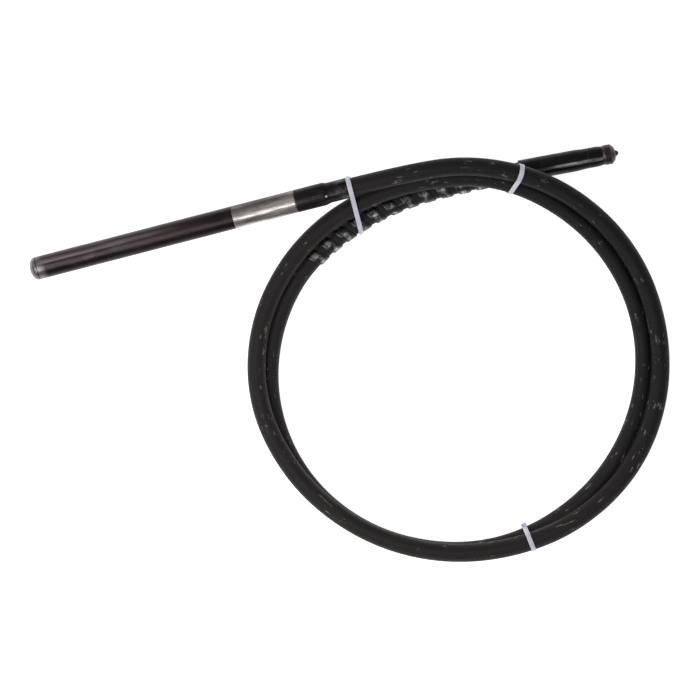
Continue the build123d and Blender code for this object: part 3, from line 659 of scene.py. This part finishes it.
# dark patches, heaviest on the right side: partly stain, partly painted shade
dark_patches_and_shade = calc(nodes, links, "MULTIPLY", span(nodes, links, patches, 0.44, 0.60),
             span(nodes, links, side, -0.004, 0.006, 0.9, 0.12))
base = blend_colour(nodes, links, dark_patches_and_shade, base, (0.022, 0.018, 0.019))
base = blend_colour(nodes, links, span(nodes, links, along, 0.18, 0.30, 0.0, 0.45), base,
                    (0.018, 0.015, 0.016))
ragged = calc(nodes, links, "ADD", along, calc(nodes, links, "MULTIPLY", patches, 0.016))
ragged = calc(nodes, links, "ADD", ragged, calc(nodes, links, "MULTIPLY", side, 0.25))
base = blend_colour(nodes, links, span(nodes, links, ragged, 0.022, 0.036, 0.9, 0.0), base,
                    (0.20, 0.183, 0.190))
off_joint = calc(nodes, links, "SUBTRACT", along, NOSE_JOINT_AT)
joint_dirt = span(nodes, links, calc(nodes, links, "ABSOLUTE", off_joint, 0.0),
                  0.0002, 0.0010, 1.0, 0.0)
base = blend_colour(nodes, links, joint_dirt, base, (0.016, 0.015, 0.015))
links.new(base, shader.inputs["Base Color"])
links.new(span(nodes, links, patches, 0.3, 0.7, 0.46, 0.30), shader.inputs["Roughness"])
give_bump(nodes, links, shader, calc(nodes, links, "ADD", turned, specks), 0.00006)
finish_nodes(blued, "tip_plug", "head_tube")

# ---- bearing housing ------------------------------------------------------------------------
# Bright machined section that holds the two rear bearings. Its face was ground lengthwise
# and is left bare, with painted shade darkening its upper side.
bright_steel, nodes, links, shader = new_material("bright_ground_steel")
shader.inputs["Metallic"].default_value = 1.0
place, _, side, _ = along_piece(nodes, links, HEAD_TIP, HEAD_YAW, HEAD_CLIMB)
patches, marks, specks = rub_marks(nodes, links, place, 34.0, (14.0, 330.0, 330.0))
broad, fine, _ = rub_marks(nodes, links, place, 22.0, (15.0, 150.0, 150.0))
base = ramp(nodes, links, fine, (0.36, (0.15, 0.132, 0.132)), (0.5, (0.34, 0.310, 0.300)),
            (0.62, (0.60, 0.56, 0.54)))
base = blend_colour(nodes, links, span(nodes, links, marks, 0.45, 0.70, 0.0, 0.45), base,
                    (0.62, 0.60, 0.58))
# painted shade: the upper side darkened, more in some patches
painted_upper_shade = calc(nodes, links, "MULTIPLY", span(nodes, links, side, 0.004, 0.0150),
             span(nodes, links, broad, 0.30, 0.6, 0.6, 1.0))
base = blend_colour(nodes, links, calc(nodes, links, "MULTIPLY", painted_upper_shade, 0.9), base,
                    (0.055, 0.042, 0.047))
spots = calc(nodes, links, "MULTIPLY", span(nodes, links, patches, 0.60, 0.72), 0.55)
base = blend_colour(nodes, links, spots, base, (0.19, 0.175, 0.17))
links.new(base, shader.inputs["Base Color"])
links.new(span(nodes, links, fine, 0.3, 0.7, 0.42, 0.27), shader.inputs["Roughness"])
give_bump(nodes, links, shader,
          calc(nodes, links, "ADD", marks, calc(nodes, links, "MULTIPLY", specks, 0.5)), 0.00010)
finish_nodes(bright_steel, "bearing_housing", "grub_screw")

# ---- head connector and ferrule -------------------------------------------------------------
# Black-oxided steel adapter screwed on behind the housing, and the ferrule crimped round the
# hose. A socket set screw locks the two. The corners have lost their black.
ring_wear = bpy.data.node_groups.new("ring_wear", "ShaderNodeTree")
for name, kind, way in (("Along", "NodeSocketFloat", "INPUT"), ("Corner", "NodeSocketFloat", "INPUT"),
                        ("Ragged", "NodeSocketFloat", "INPUT"), ("Worn", "NodeSocketFloat", "OUTPUT")):
    ring_wear.interface.new_socket(name=name, in_out=way, socket_type=kind)
nodes, links = ring_wear.nodes, ring_wear.links
way_in, way_out = nodes.new("NodeGroupInput"), nodes.new("NodeGroupOutput")
off_corner = calc(nodes, links, "ABSOLUTE", calc(nodes, links, "SUBTRACT", way_in.outputs["Along"],
                                                 way_in.outputs["Corner"]), 0.0)
reach_out = calc(nodes, links, "MULTIPLY", way_in.outputs["Ragged"], 0.0022)
past_wear = calc(nodes, links, "SUBTRACT", off_corner, reach_out)
links.new(span(nodes, links, past_wear, -0.0008, 0.0002, 1.0, 0.0), way_out.inputs["Worn"])


def corner_wear(nodes, links, along, ragged, *corners):
    """Bright wear at rings round a turned piece, at their places along it."""
    total = None
    for corner in corners:
        node = nodes.new("ShaderNodeGroup")
        node.node_tree = ring_wear
        node.inputs["Corner"].default_value = corner
        links.new(along, node.inputs["Along"])
        links.new(ragged, node.inputs["Ragged"])
        total = node.outputs[0] if total is None else calc(nodes, links, "MAXIMUM", total, node.outputs[0])
    return total


HEAD_CORNERS = (0.4545, 0.5495)         # worn corners, metres behind the tip
black_oxide, nodes, links, shader = new_material("black_oxide_steel")
shader.inputs["Metallic"].default_value = 1.0
place, along, _, _ = along_piece(nodes, links, HEAD_TIP, HEAD_YAW, HEAD_CLIMB)
patches, marks, specks = rub_marks(nodes, links, place, 40.0, (25.0, 260.0, 260.0))
base = ramp(nodes, links, patches, (0.35, (0.017, 0.0150, 0.0155)), (0.65, (0.030, 0.027, 0.0275)))
base = blend_colour(nodes, links, span(nodes, links, marks, 0.56, 0.75, 0.0, 0.7), base,
                    (0.13, 0.125, 0.125))
worn = corner_wear(nodes, links, along, patches, *HEAD_CORNERS)
base = blend_colour(nodes, links, calc(nodes, links, "MULTIPLY", worn, 0.5), base, (0.12, 0.112, 0.11))
held = calc(nodes, links, "MULTIPLY", span(nodes, links, along, 0.518, 0.532),
            span(nodes, links, patches, 0.40, 0.60))
base = blend_colour(nodes, links, calc(nodes, links, "MULTIPLY", held, 0.6), base, (0.13, 0.125, 0.13))
links.new(base, shader.inputs["Base Color"])
links.new(span(nodes, links, patches, 0.3, 0.7, 0.50, 0.34), shader.inputs["Roughness"])
give_bump(nodes, links, shader, calc(nodes, links, "ADD", marks, specks), 0.00008)
finish_nodes(black_oxide, "head_connector", "head_ferrule")

# ---- drive coupling -------------------------------------------------------------------------
# Hose ferrule, barrel and collar nut that plug into the drive unit, black-oxided, with a painted
# highlight along their upper side. The collar and nose are heat-tinted brown.
DRIVE_START = (0.32201, 0.06791, 0.0182)
DRIVE_YAW = math.radians(10.5493)
BARREL_CORNER = 0.1154                  # worn corners, metres from the ferrule's mouth
COLLAR_CORNERS = (0.1427, 0.1537, 0.1585)
# where the painted highlight runs along the coupling
DRIVE_HIGHLIGHT_AT = -0.0053               # metres left of the middle
drive_black, nodes, links, shader = new_material("drive_black_steel")
shader.inputs["Metallic"].default_value = 1.0
place, along, side, up = along_piece(nodes, links, DRIVE_START, DRIVE_YAW, 0.0)
patches, marks, specks = rub_marks(nodes, links, place, 45.0, (22.0, 280.0, 280.0))
base = ramp(nodes, links, patches, (0.35, (0.015, 0.0145, 0.015)), (0.65, (0.028, 0.027, 0.0275)))
# painted highlight: a pale lengthwise stripe on the upper half, right of the middle
line_off = calc(nodes, links, "ABSOLUTE", calc(nodes, links, "SUBTRACT", side, DRIVE_HIGHLIGHT_AT), 0.0)
painted_drive_highlight = calc(nodes, links, "MULTIPLY", span(nodes, links, line_off, 0.0010, 0.0036, 1.0, 0.0),
              span(nodes, links, marks, 0.30, 0.60))
painted_drive_highlight = calc(nodes, links, "MULTIPLY", painted_drive_highlight, span(nodes, links, up, 0.0, 0.010))
base = blend_colour(nodes, links, calc(nodes, links, "MULTIPLY", painted_drive_highlight, 0.9), base, (0.42, 0.41, 0.41))
worn = corner_wear(nodes, links, along, patches, BARREL_CORNER)
base = blend_colour(nodes, links, calc(nodes, links, "MULTIPLY", worn, 0.35), base, (0.10, 0.095, 0.09))
links.new(base, shader.inputs["Base Color"])
links.new(span(nodes, links, patches, 0.3, 0.7, 0.50, 0.34), shader.inputs["Roughness"])
give_bump(nodes, links, shader, calc(nodes, links, "ADD", marks, specks), 0.00008)
finish_nodes(drive_black, "drive_ferrule", "drive_connector")

collar_steel, nodes, links, shader = new_material("brown_tinted_steel")
shader.inputs["Metallic"].default_value = 1.0
place, along, _, _ = along_piece(nodes, links, DRIVE_START, DRIVE_YAW, 0.0)
patches, marks, specks = rub_marks(nodes, links, place, 60.0, (900.0, 60.0, 60.0))
base = ramp(nodes, links, patches, (0.36, (0.030, 0.024, 0.026)), (0.64, (0.075, 0.056, 0.058)))
worn = corner_wear(nodes, links, along, patches, *COLLAR_CORNERS)
base = blend_colour(nodes, links, calc(nodes, links, "MULTIPLY", worn, 0.5), base, (0.15, 0.125, 0.125))
links.new(base, shader.inputs["Base Color"])
links.new(span(nodes, links, marks, 0.3, 0.7, 0.46, 0.30), shader.inputs["Roughness"])
give_bump(nodes, links, shader, calc(nodes, links, "ADD", marks, specks), 0.00008)
finish_nodes(collar_steel, "drive_nut", "drive_dog")

# ---- pieces inside --------------------------------------------------------------------------
# The eccentric rotor and its joint, three ball bearings with brass cages, their seals and
# rings, the bronze drive bush, and the core in its spiral liner. None shows from outside.


def inner_finish(name, metal, dark, light, rough, *pieces):
    """Oiled machined finish for pieces inside the head and the coupling."""
    made, nodes, links, shader = new_material(name)
    shader.inputs["Metallic"].default_value = metal
    own = add_node(nodes, "ShaderNodeTexCoord")
    patches, marks, specks = rub_marks(nodes, links, own.outputs["Object"], 70.0, (500.0, 500.0, 500.0))
    links.new(ramp(nodes, links, patches, (0.35, dark), (0.65, light)), shader.inputs["Base Color"])
    links.new(span(nodes, links, marks, 0.3, 0.7, rough + 0.08, rough), shader.inputs["Roughness"])
    give_bump(nodes, links, shader, calc(nodes, links, "ADD", marks, specks), 0.00005)
    finish_nodes(made, *pieces)


inner_finish("ground_bearing_steel", 1.0, (0.50, 0.50, 0.51), (0.64, 0.64, 0.65), 0.18,
             "front_inner_ring", "front_outer_ring", "rear_inner_ring_a", "rear_outer_ring_a",
             "rear_inner_ring_b", "rear_outer_ring_b", "bearing_spacer")
inner_finish("machined_weight_steel", 1.0, (0.26, 0.26, 0.27), (0.38, 0.38, 0.39), 0.32,
             "eccentric_rotor", "core_joint")
inner_finish("cage_brass", 1.0, (0.55, 0.40, 0.17), (0.72, 0.56, 0.28), 0.28,
             "front_ball_cage", "rear_ball_cage_a", "rear_ball_cage_b")
inner_finish("bush_bronze", 1.0, (0.42, 0.27, 0.13), (0.60, 0.42, 0.22), 0.40, "drive_bush", "thrust_washer")
inner_finish("seal_rubber", 0.0, (0.012, 0.012, 0.012), (0.024, 0.024, 0.024), 0.55,
             "tip_o_ring", "housing_o_ring", "connector_o_ring", "drive_o_ring", "oil_seal")
inner_finish("snap_ring_steel", 1.0, (0.10, 0.10, 0.10), (0.18, 0.175, 0.17), 0.35, "snap_ring")
inner_finish("liner_flat_wire", 1.0, (0.30, 0.30, 0.31), (0.44, 0.44, 0.45), 0.36, "hose_liner")
inner_finish("wound_core_wire", 1.0, (0.20, 0.19, 0.18), (0.34, 0.33, 0.31), 0.38, "flexible_core")
